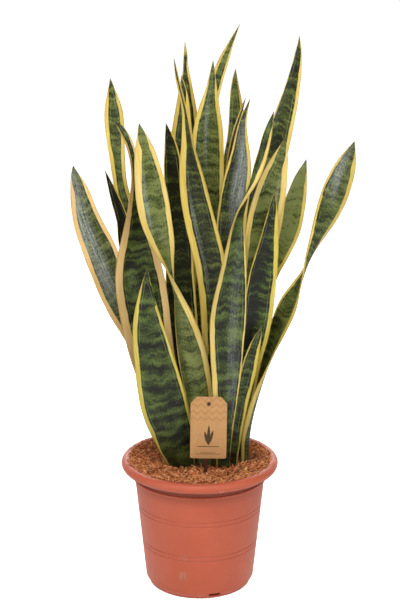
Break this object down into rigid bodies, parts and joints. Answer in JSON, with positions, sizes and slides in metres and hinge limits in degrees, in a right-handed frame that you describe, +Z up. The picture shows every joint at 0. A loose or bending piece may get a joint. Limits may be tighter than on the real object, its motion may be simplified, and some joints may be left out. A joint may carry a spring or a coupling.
{
  "type": "potted snake plant",
  "caption": "Snake plant: upright banded sword leaves with yellow edges, in coir soil in a round tapered plastic pot with a rolled rim and a blank card label.",
  "frame": {"origin": "middle of the pot's flat underside, on the ground", "axes": "+Z up along the pot's axis, -Y towards the front with the card label, +X to the viewer's right"},
  "size_m": [0.3637, 0.21, 0.742],
  "materials": {
    "pot_plastic": "moulded polypropylene, terracotta colour, slight sheen",
    "coir": "loose fibrous coir potting mix",
    "leaf": "waxy leaf, dark green bands and yellow edges",
    "rhizome": "smooth tan root skin",
    "kraft_card": "uncoated kraft card",
    "stake_plastic": "dark brown moulded plastic"
  },
  "bodies": {
    "root": {"pot": "pot_plastic", "soil": "coir", "rhizome_left": "rhizome", "rhizome_middle": "rhizome", "rhizome_right": "rhizome", "rhizome_back": "rhizome", "leaf_left_low": "leaf", "leaf_left_tall": "leaf", "leaf_left_dark": "leaf", "leaf_left_broad": "leaf", "leaf_left_front": "leaf", "leaf_twisted_left": "leaf", "leaf_middle_dark": "leaf", "leaf_middle": "leaf", "leaf_back_yellow_tip": "leaf", "leaf_back_left": "leaf", "leaf_middle_tall": "leaf", "leaf_twisted_right": "leaf", "leaf_right": "leaf", "leaf_right_hollow": "leaf", "leaf_middle_shiny": "leaf", "leaf_right_low": "leaf", "leaf_right_short": "leaf", "leaf_far_right": "leaf", "leaf_back_right": "leaf", "leaf_back_tall": "leaf", "leaf_back_grey": "leaf", "leaf_back_thin": "leaf", "label_card": "kraft_card", "label_stake": "stake_plastic"}
  },
  "joints": []
}
